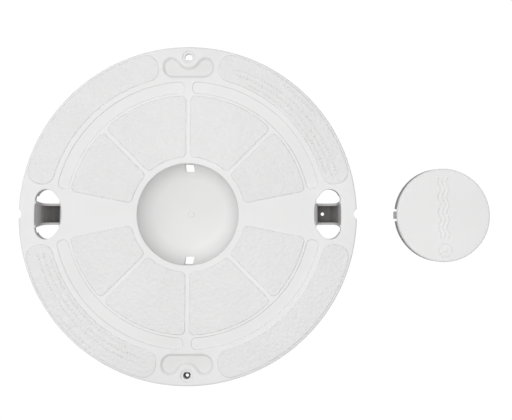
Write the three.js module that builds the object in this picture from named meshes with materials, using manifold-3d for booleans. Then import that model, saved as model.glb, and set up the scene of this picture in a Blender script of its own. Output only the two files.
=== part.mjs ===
// A round deck lid for a swimming-pool skimmer, with its separate snap-in centre cap lying face up beside it.
// Millimetres, +Z up. The origin is on the lid's axis, at the flat pad under its centre bowl, where the lid
// stands when it is laid on a bench; the underside of the two lift pockets is level with that pad.
import * as THREE from "three";
import { mergeVertices } from "three/addons/utils/BufferGeometryUtils.js";
import Module from "manifold-3d";

const wasm = await Module();
wasm.setup();

// Driving dimensions of the lid
const LID_RADIUS = 126.2; // the rim at its widest
const FACE_RADIUS = 123.6; // where the flat top ends and the rim rounds over
const TOP_Z = 34.4; // the plain top surface
const PANEL_RISE = 0.6; // the raised grip panels stand this far above it
const CHANNEL_DEPTH = 0.9; // the smooth arc channels
const PLATE = 4.0; // plate thickness
const RIM_HEIGHT = 8.4; // top surface to the lower edge of the rim
const RIM_WALL = 2.8;
const RIM_SHOULDER = [0.8, 1.5]; // inward and downward place of the rim's rounded shoulder
const RIM_SLOPE = 5.5; // the rim widens down to this far under the top surface
const ROUND_STEPS = 72; // flats in a full turn of the lid
const CAP_STEPS = 60;
const BORE_STEPS = 24;
const CURVE_STEPS = 5; // flats in each short arc of an outline
const OVER = 1; // how far a cutting solid runs past the surface that it cuts
const EMBED = 0.5; // how far an added solid sinks into the one that it joins

// The centre bowl: its section is a superellipse
const BOWL_RADIUS = 37.7;
const BOWL_DEPTH = 30;
const BOWL_POWER = 3;
const BOWL_WALL = 2.8;
const BOWL_STEPS = 7;
const PAD_RADIUS = 9; // the flat pad under the bowl
const SLOT = { width: 6.6, depth: 5.2, outer: 37.9, below: 2.2 }; // for the cap's snap tabs; depth is radial

// Grip panels, channels and recesses on the top, as radii and angles from +X
const SECTOR = { inner: 42.7, outer: 88.6, corner: 3.6 };
const SECTOR_SPOKE = 1.65; // half the gap between neighbouring sectors
const SIDE_BAND = 11.2; // degrees each side of the X axis that the sectors leave plain
const CHANNEL = { inner: 90.9, outer: 99.4, gap: 3.1, start: 11.6 };
const OUTER_PANEL = { inner: 103.7, outer: 123.3, start: 11.6, end: 78.3 };

// Screw holes at the front and back, each with a kidney-shaped recess beside it
const SCREW = { at: 118, hole: 2.75, sink: 4.75, sinkDepth: 0.9, boss: 7 };
const KIDNEY = { length: 38.4, width: 15.2, centre: 110.2, corner: 7.4, depth: 2.2, bump: 7.8 };
const KIDNEY_PAD = { margin: 1.5, floor: 2.6 }; // thicker plate under the recess
const WASHER = { outer: 2.45, hole: 1.25, offset: 0.7, thick: 1.6, below: 4.6 }; // screw retainer

// Lift holes and their hanging pockets at the two sides
const HOLE = { outer: 114, lobeX: 105.5, lobeY: 10.5, lobe: 8, flare: 140, bulgeX: 95.6, bulgeMid: 94 };
const POCKET = { width: 16.4, wall: 1.8, floor: 2, innerFoot: 100, innerLip: 3.2, toe: 1.5, heel: 5.5 };
const DRAIN = { radius: 1.35, at: 103 }; // in the floor of the pocket at +X only
const SADDLE = { z: 14, fromHeel: 9, fromToe: 3, rise: 1 }; // the dip in a pocket's side walls
const POCKET_TOP = 0.6; // the pocket tops stay this far under the top surface

// Underside: a locating skirt and radial ribs
const SKIRT = { outer: 116.4, wall: 2.2, depth: 13 };
const SKIRT_GAP = 20.5; // half the gap that the skirt leaves at a lift hole
const COLLAR = { wall: 1.8, depth: 4.6, from: 13.5 }; // a low wall round the outside of each lobe
const RIB = { wall: 2.2, depth: 9, angles: [22.5, 67.5, 112.5, 157.5] }; // and the same in front
const NOTCH = { width: 8, depth: 2.7 }; // half-round notches in the rim beside the lift holes

// Driving dimensions of the cap
const CAP_X = 196;
const CAP_Y = -0.8;
const CAP_RADIUS = 36.2;
const CAP_HEIGHT = 10.6;
const CAP_DISC = 2.4; // disc thickness
const CAP_EDGE = 1.4; // rounding of the disc's top edge
const CAP_SKIRT = { outer: 35.9, foot: 35.6, wall: 2.0 };
const CAP_RIB = { wall: 1.6, depth: 2.6, length: 58, angles: [30, 90, 150] };
const TAB = { width: 5.8, thick: 1.8, hook: 1.8, hookHeight: 3.2, ramp: 1.4, foot: 0.2 };
const TAB_NOTCH = 1.8; // the gap in the skirt at each side of a tab
const TAB_WINDOW = 12; // radial length of the cut that makes the gaps
const GAP = 0.3; // clearance between neighbouring pieces

const rad = THREE.MathUtils.degToRad;

// A three.js geometry as a solid for joining and cutting.
function solid(geometry) {
  const bare = geometry.clone();
  bare.deleteAttribute("normal");
  bare.deleteAttribute("uv");
  const merged = mergeVertices(bare, 1e-4);
  return new wasm.Manifold(
    new wasm.Mesh({
      numProp: 3,
      vertProperties: merged.attributes.position.array,
      triVerts: new Uint32Array(merged.index.array),
    }),
  );
}

// A joined or cut solid as a named mesh.
function meshOf(name, body, material) {
  const made = body.getMesh();
  const geometry = new THREE.BufferGeometry();
  geometry.setAttribute("position", new THREE.BufferAttribute(made.vertProperties, 3));
  geometry.setIndex(new THREE.BufferAttribute(made.triVerts, 1));
  geometry.computeVertexNormals();
  const mesh = new THREE.Mesh(geometry, material);
  mesh.name = name;
  return mesh;
}

const join = (bodies) => bodies.reduce((a, b) => a.add(b));

// A closed section of [radius, height] points turned about +Z. The points run anticlockwise.
function turned(points, steps = ROUND_STEPS) {
  const loop = [...points, points[0]].map(([r, z]) => new THREE.Vector2(r, z));
  const geometry = new THREE.LatheGeometry(loop, steps);
  geometry.rotateX(Math.PI / 2);
  return solid(geometry);
}

// A flat outline raised from one height to another.
function prism(shape, low, high) {
  const geometry = new THREE.ExtrudeGeometry(shape, {
    depth: high - low,
    bevelEnabled: false,
    curveSegments: CURVE_STEPS,
  });
  geometry.translate(0, 0, low);
  return solid(geometry);
}

function block(width, length, low, high, x = 0, y = 0) {
  const geometry = new THREE.BoxGeometry(width, length, high - low);
  geometry.translate(x, y, (low + high) / 2);
  return solid(geometry);
}

function rod(radius, low, high, x = 0, y = 0) {
  const geometry = new THREE.CylinderGeometry(radius, radius, high - low, BORE_STEPS);
  geometry.rotateX(Math.PI / 2);
  geometry.translate(x, y, (low + high) / 2);
  return solid(geometry);
}

// A slice of a ring with rounded corners. Each side lies parallel to the radius at its angle, moved into the
// slice by that side's offset.
function ringSlice(inner, outer, from, to, corner, offsetFrom, offsetTo) {
  const shape = new THREE.Shape();
  const nearInner = inner + corner;
  const nearOuter = outer - corner;
  const turn = (radius, offset) => Math.asin((offset + corner) / radius);
  const centre = (radius, angle) => [radius * Math.cos(angle), radius * Math.sin(angle)];
  const outFrom = from + turn(nearOuter, offsetFrom);
  const outTo = to - turn(nearOuter, offsetTo);
  const inFrom = from + turn(nearInner, offsetFrom);
  const inTo = to - turn(nearInner, offsetTo);
  shape.absarc(0, 0, outer, outFrom, outTo, false);
  shape.absarc(...centre(nearOuter, outTo), corner, outTo, to + Math.PI / 2, false);
  shape.absarc(...centre(nearInner, inTo), corner, to + Math.PI / 2, inTo + Math.PI, false);
  shape.absarc(0, 0, inner, inTo, inFrom, true);
  shape.absarc(...centre(nearInner, inFrom), corner, inFrom + Math.PI, from + 1.5 * Math.PI, false);
  shape.absarc(...centre(nearOuter, outFrom), corner, from - Math.PI / 2, outFrom, false);
  return shape;
}

// The four copies of a solid made for the +X +Y quarter.
function quarters(body) {
  const left = body.mirror([1, 0, 0]);
  return join([body, left, body.mirror([0, 1, 0]), left.mirror([0, 1, 0])]);
}

const bothSides = (body) => body.add(body.mirror([1, 0, 0]));
const frontAndBack = (body) => body.add(body.mirror([0, 1, 0]));

// The bowl's section from its mouth to the axis, as [radius, height] points.
function bowlSection(radius, depth, bottomRadius = 0) {
  const points = [];
  for (let i = 0; i <= BOWL_STEPS; i += 1) {
    const angle = (i / BOWL_STEPS) * (Math.PI / 2);
    const r = radius * Math.cos(angle) ** (2 / BOWL_POWER);
    const z = TOP_Z - depth * Math.sin(angle) ** (2 / BOWL_POWER);
    if (r > bottomRadius) points.push([r, z]);
  }
  return points;
}

// The plate, rim and bowl as one turned section.
function lidBody() {
  const under = TOP_Z - PLATE;
  const foot = TOP_Z - RIM_HEIGHT;
  const outside = bowlSection(BOWL_RADIUS + BOWL_WALL, BOWL_DEPTH + BOWL_WALL, PAD_RADIUS);
  const section = [
    [0, 0],
    [PAD_RADIUS, 0],
    ...outside.filter(([, z]) => z < under).reverse(),
    [BOWL_RADIUS + BOWL_WALL, under],
    [LID_RADIUS - RIM_WALL, under],
    [LID_RADIUS - RIM_WALL, foot],
    [LID_RADIUS, foot],
    [LID_RADIUS, TOP_Z - RIM_SLOPE],
    [LID_RADIUS - RIM_SHOULDER[0], TOP_Z - RIM_SHOULDER[1]],
    [FACE_RADIUS, TOP_Z],
    ...bowlSection(BOWL_RADIUS, BOWL_DEPTH),
    [0, TOP_Z - BOWL_DEPTH],
  ];
  return turned(section);
}

function gripPanels() {
  const low = TOP_Z - EMBED;
  const high = TOP_Z + PANEL_RISE;
  const { inner, outer, corner } = SECTOR;
  const side = ringSlice(inner, outer, rad(SIDE_BAND), rad(45), corner, 0, SECTOR_SPOKE);
  const end = ringSlice(inner, outer, rad(45), rad(90), corner, SECTOR_SPOKE, SECTOR_SPOKE);
  const p = OUTER_PANEL;
  const rim = ringSlice(p.inner, p.outer, rad(p.start), rad(p.end), (p.outer - p.inner) / 2, 0, 0);
  return quarters(join([side, end, rim].map((shape) => prism(shape, low, high))));
}

function arcChannels() {
  const { inner, outer, gap, start } = CHANNEL;
  const round = (outer - inner) / 2;
  const shape = ringSlice(inner, outer, rad(start), rad(90), round, 0, gap);
  return quarters(prism(shape, TOP_Z - CHANNEL_DEPTH, TOP_Z + OVER));
}

// The outline of the kidney recess at the back, grown by a margin.
function kidneyOutline(margin) {
  const half = KIDNEY.length / 2 + margin;
  const low = KIDNEY.centre - KIDNEY.width / 2 - margin;
  const high = KIDNEY.centre + KIDNEY.width / 2 + margin;
  const r = KIDNEY.corner + margin;
  const shape = new THREE.Shape();
  shape.absarc(half - r, low + r, r, -Math.PI / 2, 0, false);
  shape.absarc(half - r, high - r, r, 0, Math.PI / 2, false);
  shape.absarc(r - half, high - r, r, Math.PI / 2, Math.PI, false);
  shape.absarc(r - half, low + r, r, Math.PI, 1.5 * Math.PI, false);
  return shape;
}

function kidneyRecess() {
  const cut = prism(kidneyOutline(0), TOP_Z - KIDNEY.depth, TOP_Z + OVER);
  return cut.subtract(rod(KIDNEY.bump, TOP_Z - PLATE, TOP_Z + 2 * OVER, 0, SCREW.at));
}

// The outline of the lift hole at +X: two round lobes, and a bulge towards the lid's axis between them.
function liftHole() {
  const { outer, lobeX, lobeY, lobe, bulgeX, bulgeMid } = HOLE;
  const reach = Math.asin(lobeY / outer);
  const flare = rad(HOLE.flare);
  const shape = new THREE.Shape();
  shape.absarc(0, 0, outer, -reach, reach, false);
  shape.absarc(lobeX, lobeY, lobe, 0, flare, false);
  shape.lineTo(bulgeX, lobeY);
  shape.quadraticCurveTo(2 * bulgeMid - bulgeX, 0, bulgeX, -lobeY);
  shape.absarc(lobeX, -lobeY, lobe, -flare, 0, false);
  return shape;
}

// The side view of a pocket at +X, from its inner edge round the floor to its outer edge.
function pocketStrap() {
  const { wall, floor, innerFoot, innerLip, toe, heel } = POCKET;
  const high = TOP_Z - POCKET_TOP;
  const back = HOLE.outer + wall;
  const front = innerFoot - wall;
  const shape = new THREE.Shape();
  shape.moveTo(HOLE.bulgeX, high);
  shape.lineTo(innerFoot, floor + toe);
  shape.quadraticCurveTo(innerFoot, floor, innerFoot + toe, floor);
  shape.lineTo(HOLE.outer - heel, floor);
  shape.quadraticCurveTo(HOLE.outer, floor, HOLE.outer, floor + heel);
  shape.lineTo(HOLE.outer, high);
  shape.lineTo(back, high);
  shape.lineTo(back, floor + heel);
  shape.quadraticCurveTo(back, 0, HOLE.outer - heel, 0);
  shape.lineTo(innerFoot + toe, 0);
  shape.quadraticCurveTo(front, 0, front, floor + toe);
  shape.lineTo(HOLE.bulgeX - innerLip, high);
  return shape;
}

// One side wall of a pocket, seen from the side: its top edge dips between the two ends.
function pocketSide() {
  const { floor, innerFoot, toe, heel, wall } = POCKET;
  const high = TOP_Z - PLATE;
  const back = HOLE.outer + wall / 2;
  const front = wall / 2;
  const shape = new THREE.Shape();
  shape.moveTo(innerFoot + toe, floor / 2);
  shape.lineTo(HOLE.outer - heel, floor / 2);
  shape.quadraticCurveTo(back, floor / 2, back, floor + heel);
  shape.lineTo(back, high);
  shape.lineTo(HOLE.outer - SADDLE.rise, high);
  shape.quadraticCurveTo(HOLE.outer - 2 * SADDLE.rise, SADDLE.z, HOLE.outer - SADDLE.fromHeel, SADDLE.z);
  shape.lineTo(innerFoot + SADDLE.fromToe, SADDLE.z);
  shape.quadraticCurveTo(innerFoot, SADDLE.z, HOLE.bulgeX + SADDLE.rise, high);
  shape.lineTo(HOLE.bulgeX - front, high);
  shape.lineTo(innerFoot - front, floor + toe);
  return shape;
}

// A side view drawn in radius and height, made into a slab across Y.
function slab(shape, fromY, toY) {
  const geometry = new THREE.ExtrudeGeometry(shape, {
    depth: toY - fromY,
    bevelEnabled: false,
    curveSegments: CURVE_STEPS,
  });
  geometry.rotateX(Math.PI / 2);
  geometry.translate(0, toY, 0);
  return solid(geometry);
}

function liftPocket() {
  const half = POCKET.width / 2;
  const side = slab(pocketSide(), half - POCKET.wall, half);
  return join([slab(pocketStrap(), -half, half), frontAndBack(side)]);
}

function ring(outer, wall, low, high) {
  return turned([
    [outer - wall, low],
    [outer, low],
    [outer, high],
    [outer - wall, high],
  ]);
}

// The low wall under the plate that follows the outside of the lobe at +X +Y.
function lobeCollar() {
  const { lobeX, lobeY, lobe } = HOLE;
  const outer = lobe + COLLAR.wall;
  const under = TOP_Z - PLATE;
  const band = ring(outer, COLLAR.wall, under - COLLAR.depth, under + EMBED).translate([lobeX, lobeY, 0]);
  const size = 2 * outer;
  const inside = block(size, 2 * size, 0, TOP_Z, lobeX - outer, lobeY);
  const near = block(2 * size, size, 0, TOP_Z, lobeX, COLLAR.from - outer);
  return band.subtract(inside).subtract(near);
}

// The ribs, skirt, collars and boss under the plate.
function underside() {
  const under = TOP_Z - PLATE + EMBED;
  const skirt = ring(SKIRT.outer, SKIRT.wall, under - SKIRT.depth, under);
  const pocketGap = block(2 * LID_RADIUS, 2 * SKIRT_GAP, 0, TOP_Z - PLATE);
  const ribStart = BOWL_RADIUS + BOWL_WALL / 2;
  const ribEnd = SKIRT.outer - SKIRT.wall / 2;
  const ribs = [];
  for (const angle of RIB.angles) {
    const middle = (ribStart + ribEnd) / 2;
    const rib = block(ribEnd - ribStart, RIB.wall, under - RIB.depth, under, middle, 0);
    ribs.push(frontAndBack(rib.rotate([0, 0, angle])));
  }
  const boss = rod(SCREW.boss, TOP_Z - RIM_HEIGHT, under, 0, -SCREW.at);
  const padLow = TOP_Z - KIDNEY.depth - KIDNEY_PAD.floor;
  const recessPad = prism(kidneyOutline(KIDNEY_PAD.margin), padLow, under);
  return join([
    skirt.subtract(pocketGap),
    ...ribs,
    boss,
    frontAndBack(recessPad),
    bothSides(frontAndBack(lobeCollar())),
  ]);
}

function screwHoleCut() {
  const through = rod(SCREW.hole, -OVER, TOP_Z + OVER, 0, SCREW.at);
  const sink = rod(SCREW.sink, TOP_Z - SCREW.sinkDepth, TOP_Z + OVER, 0, SCREW.at);
  return frontAndBack(through.add(sink));
}

function rimNotch() {
  const centre = LID_RADIUS + NOTCH.width / 2 - NOTCH.depth;
  return bothSides(rod(NOTCH.width / 2, 0, TOP_Z + OVER, centre, 0));
}

function snapSlots() {
  const slot = block(SLOT.width, SLOT.depth, -OVER, TOP_Z - SLOT.below, 0, SLOT.outer - SLOT.depth / 2);
  return frontAndBack(slot);
}

function lid() {
  const hole = prism(liftHole(), -OVER, TOP_Z + OVER);
  const drain = rod(DRAIN.radius, -OVER, POCKET.floor + OVER, DRAIN.at, 0);
  const body = join([lidBody(), gripPanels(), underside()]);
  return body
    .subtract(arcChannels())
    .subtract(frontAndBack(kidneyRecess()))
    .subtract(bothSides(hole))
    .add(bothSides(liftPocket()))
    .subtract(drain)
    .subtract(screwHoleCut())
    .subtract(snapSlots())
    .subtract(rimNotch());
}

// A rubber washer pressed into the front screw hole to keep a screw from falling out.
function screwRetainer() {
  const { outer, hole, offset, thick, below } = WASHER;
  const high = TOP_Z - below;
  const washer = rod(outer, high - thick, high, 0, -SCREW.at);
  return washer.subtract(rod(hole, high - thick - OVER, high + OVER, 0, -SCREW.at - offset));
}

// The cap, without its tabs, standing on its skirt with its axis on Z.
function cap() {
  const under = CAP_HEIGHT - CAP_DISC;
  const section = [
    [0, under],
    [CAP_SKIRT.outer - CAP_SKIRT.wall, under],
    [CAP_SKIRT.foot - CAP_SKIRT.wall, 0],
    [CAP_SKIRT.foot, 0],
    [CAP_SKIRT.outer, under],
    [CAP_RADIUS, under],
    [CAP_RADIUS, CAP_HEIGHT - CAP_EDGE],
    [CAP_RADIUS - CAP_EDGE * 0.3, CAP_HEIGHT - CAP_EDGE * 0.3],
    [CAP_RADIUS - CAP_EDGE, CAP_HEIGHT],
    [0, CAP_HEIGHT],
  ];
  const shell = turned(section, CAP_STEPS);
  const window = block(TAB_WINDOW, TAB.width + 2 * TAB_NOTCH, -OVER, under, CAP_RADIUS, 0);
  const rib = block(CAP_RIB.length, CAP_RIB.wall, under - CAP_RIB.depth, under + EMBED);
  const ribs = join(CAP_RIB.angles.map((angle) => rib.rotate([0, 0, angle])));
  return shell.add(ribs).subtract(bothSides(window));
}

// The snap tab at the cap's +X side: a flat tongue under the disc with a ramped hook at its foot.
function snapTab() {
  const high = CAP_HEIGHT - CAP_DISC - GAP;
  const face = CAP_SKIRT.foot;
  const shape = new THREE.Shape();
  shape.moveTo(face - TAB.thick, TAB.foot);
  shape.lineTo(face + TAB.foot, TAB.foot);
  shape.lineTo(face + TAB.hook, TAB.foot + TAB.ramp);
  shape.lineTo(face + TAB.hook, TAB.hookHeight);
  shape.lineTo(face, TAB.hookHeight);
  shape.lineTo(face, high);
  shape.lineTo(face - TAB.thick, high);
  return slab(shape, -TAB.width / 2, TAB.width / 2);
}

const offWhite = { color: 0xe9e9e8, roughness: 0.55, metalness: 0 };
const lidPlastic = new THREE.MeshStandardMaterial(offWhite);
const capPlastic = new THREE.MeshStandardMaterial(offWhite);
const rubber = new THREE.MeshStandardMaterial({ color: 0x2b2a2a, roughness: 0.8, metalness: 0 });

const skimmerLid = new THREE.Group();
skimmerLid.add(meshOf("lid", lid(), lidPlastic));
skimmerLid.add(meshOf("screw_retainer", screwRetainer(), rubber));

const capGroup = new THREE.Group();
capGroup.position.set(CAP_X, CAP_Y, 0);
capGroup.add(meshOf("cap", cap(), capPlastic));
capGroup.add(meshOf("snap_tab_right", snapTab(), capPlastic));
capGroup.add(meshOf("snap_tab_left", snapTab().mirror([1, 0, 0]), capPlastic));
skimmerLid.add(capGroup);

export default skimmerLid;
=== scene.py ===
"""Looks for a pool skimmer deck lid with its snap-in centre cap lying beside it.

Each sub-assembly is modelled on the bench in millimetres and then laid down in metres, in the part's own
frame: +Z up, origin on the lid's axis at the pad that it stands on.
"""

import logging
import math
from collections.abc import Callable, Iterator, Sequence
from contextlib import contextmanager
from dataclasses import dataclass
from enum import Enum

import bmesh
import bpy
from mathutils import Matrix, Vector

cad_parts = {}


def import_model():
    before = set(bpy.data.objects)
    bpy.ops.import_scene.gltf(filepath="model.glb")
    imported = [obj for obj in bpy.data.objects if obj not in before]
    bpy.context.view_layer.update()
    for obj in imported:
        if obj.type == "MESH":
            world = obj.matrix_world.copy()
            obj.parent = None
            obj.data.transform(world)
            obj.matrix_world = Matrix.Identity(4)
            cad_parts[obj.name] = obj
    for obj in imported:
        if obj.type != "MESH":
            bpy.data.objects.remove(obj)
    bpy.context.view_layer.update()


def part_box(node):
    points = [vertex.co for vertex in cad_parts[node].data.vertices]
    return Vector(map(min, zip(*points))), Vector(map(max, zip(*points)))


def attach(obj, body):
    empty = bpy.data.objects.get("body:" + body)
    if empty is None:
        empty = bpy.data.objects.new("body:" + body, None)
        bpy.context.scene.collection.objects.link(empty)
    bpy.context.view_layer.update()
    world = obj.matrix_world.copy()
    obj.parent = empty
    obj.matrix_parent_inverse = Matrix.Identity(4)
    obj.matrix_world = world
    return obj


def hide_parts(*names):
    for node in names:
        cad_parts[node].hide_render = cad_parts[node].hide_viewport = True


log = logging.getLogger("skimmer_lid")

MM = 0.001
UPRIGHT = Matrix.Rotation(math.pi / 2, 4, "X")  # stands an outline drawn in X and Y up in X and Z
Point2 = tuple[float, float]
Point3 = tuple[float, float, float]
Colour = tuple[float, float, float]


class Side(Enum):
    """How far a piece made for +X is turned to reach its side, in degrees."""

    RIGHT = 0.0
    LEFT = 180.0


class Surface(Enum):
    """How the mould's steel was finished where it made a surface."""

    SATIN = "satin"
    STIPPLED = "stippled"


# Bench tools: selecting, shaping and finishing meshes with Blender's own operators


def pick(piece: bpy.types.Object) -> None:
    """Leave one object selected and active."""
    bpy.ops.object.select_all(action="DESELECT")
    piece.select_set(True)
    bpy.context.view_layer.objects.active = piece


@contextmanager
def editing(piece: bpy.types.Object, mode: str = "FACE") -> Iterator[None]:
    """Hold one object in edit mode, with nothing selected at first.

    Args:
        piece: The object to edit.
        mode: VERT, EDGE or FACE, for what gets selected.
    """
    pick(piece)
    bpy.ops.object.mode_set(mode="EDIT")
    bpy.ops.mesh.select_mode(type=mode)
    bpy.ops.mesh.select_all(action="DESELECT")
    try:
        yield
    finally:
        bpy.ops.object.mode_set(mode="OBJECT")


def choose_faces(piece: bpy.types.Object, wanted: Callable[[Vector, Vector], bool]) -> None:
    """Select the faces whose middle and normal pass a test, in edit mode.

    Args:
        piece: The object in edit mode.
        wanted: Takes a face's middle and its normal.
    """
    mesh = bmesh.from_edit_mesh(piece.data)
    mesh.normal_update()
    for face in mesh.faces:
        face.select_set(bool(wanted(face.calc_center_median(), face.normal)))
    bmesh.update_edit_mesh(piece.data)


def choose_edges(piece: bpy.types.Object, wanted: Callable[[Vector, Vector], bool]) -> None:
    """Select the edges whose two ends pass a test, in edit mode.

    Args:
        piece: The object in edit mode.
        wanted: Takes the two ends of an edge.
    """
    mesh = bmesh.from_edit_mesh(piece.data)
    for edge in mesh.edges:
        edge.select_set(bool(wanted(edge.verts[0].co, edge.verts[1].co)))
    bmesh.update_edit_mesh(piece.data)


def face_outwards() -> None:
    """Turn every face of the solid outwards, in edit mode."""
    bpy.ops.mesh.select_all(action="SELECT")
    bpy.ops.mesh.normals_make_consistent(inside=False)


def set_corners(piece: bpy.types.Object, low_x: float, high_x: float, half: float, z: float) -> None:
    """Put the four corners of the selected face at the corners of a level rectangle, in edit mode.

    Args:
        piece: The object in edit mode.
        low_x: The rectangle's lowest X.
        high_x: Its highest X.
        half: Half its width along Y.
        z: Its height.
    """
    mesh = bmesh.from_edit_mesh(piece.data)
    corners = [vertex for vertex in mesh.verts if vertex.select]
    middle = sum((vertex.co for vertex in corners), Vector()) / len(corners)
    for vertex in corners:
        x = low_x if vertex.co.x < middle.x else high_x
        y = -half if vertex.co.y < middle.y else half
        vertex.co = (x, y, z)
    bmesh.update_edit_mesh(piece.data)


def outline_face(name: str, points: Sequence[Point2], z: float, up: bool = True) -> bpy.types.Object:
    """Make a flat face from a disc whose rim is laid along an outline.

    Args:
        name: The object's name.
        points: The outline, anticlockwise seen from above, in millimetres.
        z: Its height.
        up: True if the face looks up.

    Returns:
        The new object.
    """
    bpy.ops.mesh.primitive_circle_add(vertices=len(points), radius=1, fill_type="NGON")
    piece = bpy.context.object
    piece.name = piece.data.name = name
    for vertex, (x, y) in zip(piece.data.vertices, points, strict=True):
        vertex.co = (x, y, z)
    piece.data.update()
    if (piece.data.polygons[0].normal.z > 0) != up:
        with editing(piece):
            bpy.ops.mesh.select_all(action="SELECT")
            bpy.ops.mesh.flip_normals()
    return piece


def prism(name: str, points: Sequence[Point2], height: float) -> bpy.types.Object:
    """Raise an outline at height 0 into a solid.

    Args:
        name: The object's name.
        points: The outline, anticlockwise, in millimetres.
        height: The solid's height.

    Returns:
        The new object.
    """
    piece = outline_face(name, points, 0)
    with editing(piece):
        bpy.ops.mesh.select_all(action="SELECT")
        extrude(height)
        face_outwards()
    return piece


def block(name: str, middle: Point3, size: Point3) -> bpy.types.Object:
    """A plain block to work from.

    Args:
        name: The object's name.
        middle: Its middle.
        size: Its size along each axis.

    Returns:
        The new object.
    """
    bpy.ops.mesh.primitive_cube_add(size=1, location=middle)
    piece = bpy.context.object
    piece.name = piece.data.name = name
    piece.scale = size
    pick(piece)
    bpy.ops.object.transform_apply(location=True, scale=True)
    return piece


def rod(name: str, middle: Point3, radius: float, height: float, flats: int) -> bpy.types.Object:
    """A plain upright rod to work from.

    Args:
        name: The object's name.
        middle: Its middle.
        radius: Its radius.
        height: Its height.
        flats: How many flats go round it.

    Returns:
        The new object.
    """
    bpy.ops.mesh.primitive_cylinder_add(vertices=flats, radius=radius, depth=height, location=middle)
    piece = bpy.context.object
    piece.name = piece.data.name = name
    pick(piece)
    bpy.ops.object.transform_apply(location=True)
    return piece


def turned(name: str, section: Sequence[Point2], steps: int, closed: bool = False,
           start: float = 0.0, sweep: float = 360.0) -> bpy.types.Object:
    """Spin a section of radius and height about the Z axis.

    Args:
        name: The object's name.
        section: Points of radius and height, in millimetres.
        steps: Flats along the sweep.
        closed: True if the section closes on itself; otherwise both its ends lie on the axis.
        start: Angle of the first section from +X, in degrees.
        sweep: Angle that the section is swept through, in degrees.

    Returns:
        The new object.
    """
    bpy.ops.mesh.primitive_circle_add(vertices=len(section), radius=1, fill_type="NOTHING")
    piece = bpy.context.object
    piece.name = piece.data.name = name
    turn = math.radians(start)
    for vertex, (radius, z) in zip(piece.data.vertices, section, strict=True):
        vertex.co = (radius * math.cos(turn), radius * math.sin(turn), z)
    last = len(section) - 1
    with editing(piece, "EDGE"):
        if not closed:
            mesh = bmesh.from_edit_mesh(piece.data)
            for edge in mesh.edges:
                edge.select_set({edge.verts[0].index, edge.verts[1].index} == {0, last})
            bmesh.update_edit_mesh(piece.data)
            bpy.ops.mesh.delete(type="EDGE")
        bpy.ops.mesh.select_all(action="SELECT")
        bpy.ops.mesh.spin(steps=steps, angle=math.radians(sweep), center=(0, 0, 0), axis=(0, 0, -1))
        bpy.ops.mesh.select_all(action="SELECT")
        bpy.ops.mesh.remove_doubles(threshold=MM)
        bpy.ops.mesh.select_all(action="DESELECT")
        if sweep < 360:
            bpy.ops.mesh.select_mode(type="VERT")
            bpy.ops.mesh.select_non_manifold()
            bpy.ops.mesh.fill_holes(sides=0)
        face_outwards()
    return piece


def extrude(z: float) -> None:
    """Push the selected faces along Z, in edit mode."""
    bpy.ops.mesh.extrude_region_move(TRANSFORM_OT_translate={"value": (0, 0, z)})


def ease(share: float) -> float:
    """A smooth step from 0 to 1."""
    return share * share * (3 - 2 * share)


def soft_step(width: float, height: float, steps: int = 5) -> None:
    """Raise the selected faces over an S-shaped edge, in edit mode.

    Args:
        width: How far the edge runs inwards.
        height: How far the faces move along their own normal.
        steps: How many flats make the edge.
    """
    for index in range(steps):
        rise = height * (ease((index + 1) / steps) - ease(index / steps))
        bpy.ops.mesh.inset(thickness=width / steps, depth=rise, use_even_offset=True)


def round_over(radius: float, steps: int = 4) -> None:
    """Round the rim of the selected faces outwards by a quarter circle, in edit mode.

    Args:
        radius: The rounding's radius.
        steps: How many flats make it.
    """
    for index in range(steps):
        low, high = (index * math.pi / 2 / steps, (index + 1) * math.pi / 2 / steps)
        inward = radius * (math.cos(low) - math.cos(high))
        rise = radius * (math.sin(high) - math.sin(low))
        bpy.ops.mesh.inset(thickness=inward, depth=rise, use_even_offset=True)


def pad(name: str, points: Sequence[Point2], z: float, sink: float, rise: float, edge: float,
        up: bool = True) -> bpy.types.Object:
    """Model a low pad with soft edges, standing on a surface.

    Args:
        name: The object's name.
        points: Outline of the pad's foot.
        z: Height of the surface.
        sink: How far the pad reaches into the surface.
        rise: How far it stands out of it.
        edge: Width of its soft edge.
        up: True if it stands on top, False if it hangs below.

    Returns:
        The new object, a closed solid.
    """
    way = 1 if up else -1
    piece = outline_face(name, points, z - way * sink, up)
    with editing(piece):
        bpy.ops.mesh.select_all(action="SELECT")
        extrude(way * sink)
        soft_step(edge, rise)
        face_outwards()
    return piece


def hanging_rib(root: bpy.types.Object, depth: float, taper: Point2, rounding: float, steps: int) -> None:
    """Draw a block's underside down into a rib with tapered sides and a rounded foot.

    Args:
        root: The block, which becomes the rib.
        depth: How far the rib reaches below the block.
        taper: How much of the block's length and width is left at the foot.
        rounding: Radius of the foot's edges.
        steps: Flats in that rounding.
    """
    with editing(root):
        choose_faces(root, lambda middle, normal: normal.z < -0.5)
        extrude(-depth)
        bpy.ops.transform.resize(value=(*taper, 1))
        choose_faces(root, lambda middle, normal: normal.z < -0.5)
        round_over(rounding, steps)


def cut(piece: bpy.types.Object, tool: bpy.types.Object) -> None:
    """Cut one solid out of another and throw the cutting solid away."""
    pick(piece)
    modifier = piece.modifiers.new("cut", "BOOLEAN")
    modifier.object = tool
    modifier.operation = "DIFFERENCE"
    modifier.solver = "EXACT"
    bpy.ops.object.modifier_apply(modifier=modifier.name)
    bpy.data.objects.remove(tool, do_unlink=True)


def fuse(pieces: Sequence[bpy.types.Object]) -> bpy.types.Object:
    """Put several objects' meshes into the first one.

    Args:
        pieces: At least one object.

    Returns:
        The first object, holding them all.
    """
    pick(pieces[0])
    for piece in pieces[1:]:
        piece.select_set(True)
    if len(pieces) > 1:
        bpy.ops.object.join()
    return pieces[0]


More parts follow.
